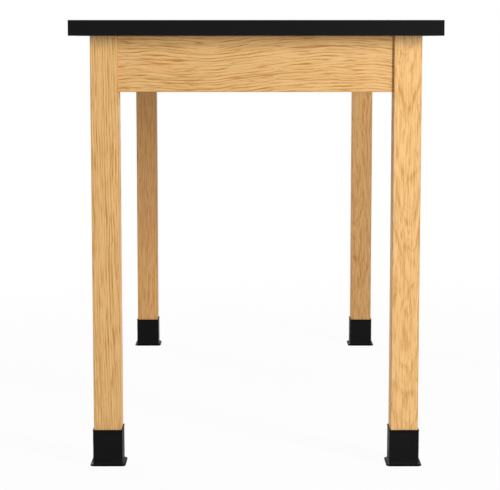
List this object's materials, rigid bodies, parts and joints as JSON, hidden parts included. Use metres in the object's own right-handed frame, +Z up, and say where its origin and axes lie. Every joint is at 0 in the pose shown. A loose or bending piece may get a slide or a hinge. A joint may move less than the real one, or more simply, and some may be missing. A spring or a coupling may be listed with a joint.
{
  "type": "science lab table",
  "caption": "Standing-height laboratory table with a thick black worktop on an oak apron frame, square legs, black slip-on leg boots and screw levellers.",
  "frame": {"origin": "on the floor under the middle of the worktop", "axes": "+X across the table's width, +Y along its length away from the pictured end, +Z up"},
  "size_m": [0.762, 1.524, 0.9271],
  "materials": {
    "top_laminate": "fine matt",
    "edge_band": "satin",
    "backer_sheet": "matt",
    "core_board": "pressed particles",
    "oak": "clear satin lacquer on oak",
    "plated_steel": "zinc plated",
    "fastener_steel": "zinc plated",
    "leveller_steel": "nickel plated",
    "pad_plastic": "moulded",
    "boot_vinyl": "pliable satin vinyl"
  },
  "bodies": {
    "root": {"worktop_top_sheet": "top_laminate", "worktop_core": "core_board", "worktop_backer": "backer_sheet", "edge_band_left": "edge_band", "edge_band_right": "edge_band", "edge_band_front": "edge_band", "edge_band_rear": "edge_band", "side_apron_left": "oak", "side_apron_right": "oak", "end_apron_front": "oak", "end_apron_rear": "oak", "leg_front_left": "oak", "corner_bracket_front_left": "plated_steel", "tee_nut_front_left": "plated_steel", "leg_front_right": "oak", "corner_bracket_front_right": "plated_steel", "tee_nut_front_right": "plated_steel", "leg_rear_left": "oak", "corner_bracket_rear_left": "plated_steel", "tee_nut_rear_left": "plated_steel", "leg_rear_right": "oak", "corner_bracket_rear_right": "plated_steel", "tee_nut_rear_right": "plated_steel", "hanger_bolts": "fastener_steel", "bolt_washers": "fastener_steel", "bolt_nuts": "fastener_steel", "bracket_screws": "fastener_steel", "clip_screws": "fastener_steel", "top_clips": "plated_steel"},
    "leveller_foot_front_left": {"leveller_foot_front_left": "leveller_steel", "leveller_pad_front_left": "pad_plastic"},
    "leveller_stem_front_left": {"leveller_stem_front_left": "leveller_steel"},
    "leg_boot_front_left": {"leg_boot_front_left": "boot_vinyl"},
    "leveller_foot_front_right": {"leveller_foot_front_right": "leveller_steel", "leveller_pad_front_right": "pad_plastic"},
    "leveller_stem_front_right": {"leveller_stem_front_right": "leveller_steel"},
    "leg_boot_front_right": {"leg_boot_front_right": "boot_vinyl"},
    "leveller_foot_rear_left": {"leveller_foot_rear_left": "leveller_steel", "leveller_pad_rear_left": "pad_plastic"},
    "leveller_stem_rear_left": {"leveller_stem_rear_left": "leveller_steel"},
    "leg_boot_rear_left": {"leg_boot_rear_left": "boot_vinyl"},
    "leveller_foot_rear_right": {"leveller_foot_rear_right": "leveller_steel", "leveller_pad_rear_right": "pad_plastic"},
    "leveller_stem_rear_right": {"leveller_stem_rear_right": "leveller_steel"},
    "leg_boot_rear_right": {"leg_boot_rear_right": "boot_vinyl"}
  },
  "joints": [
    {"name": "leveller_height_front_left", "type": "slide", "parent": "root", "child": "leveller_foot_front_left", "axis": [0, 0, 1], "range_m": [-0.022, 0]},
    {"name": "stem_turn_front_left", "type": "hinge", "parent": "leveller_foot_front_left", "child": "leveller_stem_front_left", "pos_m": [-0.31043, -0.70803, 0.03], "axis": [0, 0, 1], "range_deg": [-4990, 0]},
    {"name": "boot_lift_front_left", "type": "slide", "parent": "root", "child": "leg_boot_front_left", "axis": [0, 0, 1], "range_m": [-0.022, 0.08]},
    {"name": "leveller_height_front_right", "type": "slide", "parent": "root", "child": "leveller_foot_front_right", "axis": [0, 0, 1], "range_m": [-0.022, 0]},
    {"name": "stem_turn_front_right", "type": "hinge", "parent": "leveller_foot_front_right", "child": "leveller_stem_front_right", "pos_m": [0.31043, -0.70803, 0.03], "axis": [0, 0, 1], "range_deg": [-4990, 0]},
    {"name": "boot_lift_front_right", "type": "slide", "parent": "root", "child": "leg_boot_front_right", "axis": [0, 0, 1], "range_m": [-0.022, 0.08]},
    {"name": "leveller_height_rear_left", "type": "slide", "parent": "root", "child": "leveller_foot_rear_left", "axis": [0, 0, 1], "range_m": [-0.022, 0]},
    {"name": "stem_turn_rear_left", "type": "hinge", "parent": "leveller_foot_rear_left", "child": "leveller_stem_rear_left", "pos_m": [-0.31043, 0.70803, 0.03], "axis": [0, 0, 1], "range_deg": [-4990, 0]},
    {"name": "boot_lift_rear_left", "type": "slide", "parent": "root", "child": "leg_boot_rear_left", "axis": [0, 0, 1], "range_m": [-0.022, 0.08]},
    {"name": "leveller_height_rear_right", "type": "slide", "parent": "root", "child": "leveller_foot_rear_right", "axis": [0, 0, 1], "range_m": [-0.022, 0]},
    {"name": "stem_turn_rear_right", "type": "hinge", "parent": "leveller_foot_rear_right", "child": "leveller_stem_rear_right", "pos_m": [0.31043, 0.70803, 0.03], "axis": [0, 0, 1], "range_deg": [-4990, 0]},
    {"name": "boot_lift_rear_right", "type": "slide", "parent": "root", "child": "leg_boot_rear_right", "axis": [0, 0, 1], "range_m": [-0.022, 0.08]}
  ],
  "couplings": [
    {"joint": "stem_turn_front_left", "follows": "leveller_height_front_left", "rad_per_m": 3957.9},
    {"joint": "stem_turn_front_right", "follows": "leveller_height_front_right", "rad_per_m": 3957.9},
    {"joint": "stem_turn_rear_left", "follows": "leveller_height_rear_left", "rad_per_m": 3957.9},
    {"joint": "stem_turn_rear_right", "follows": "leveller_height_rear_right", "rad_per_m": 3957.9}
  ]
}
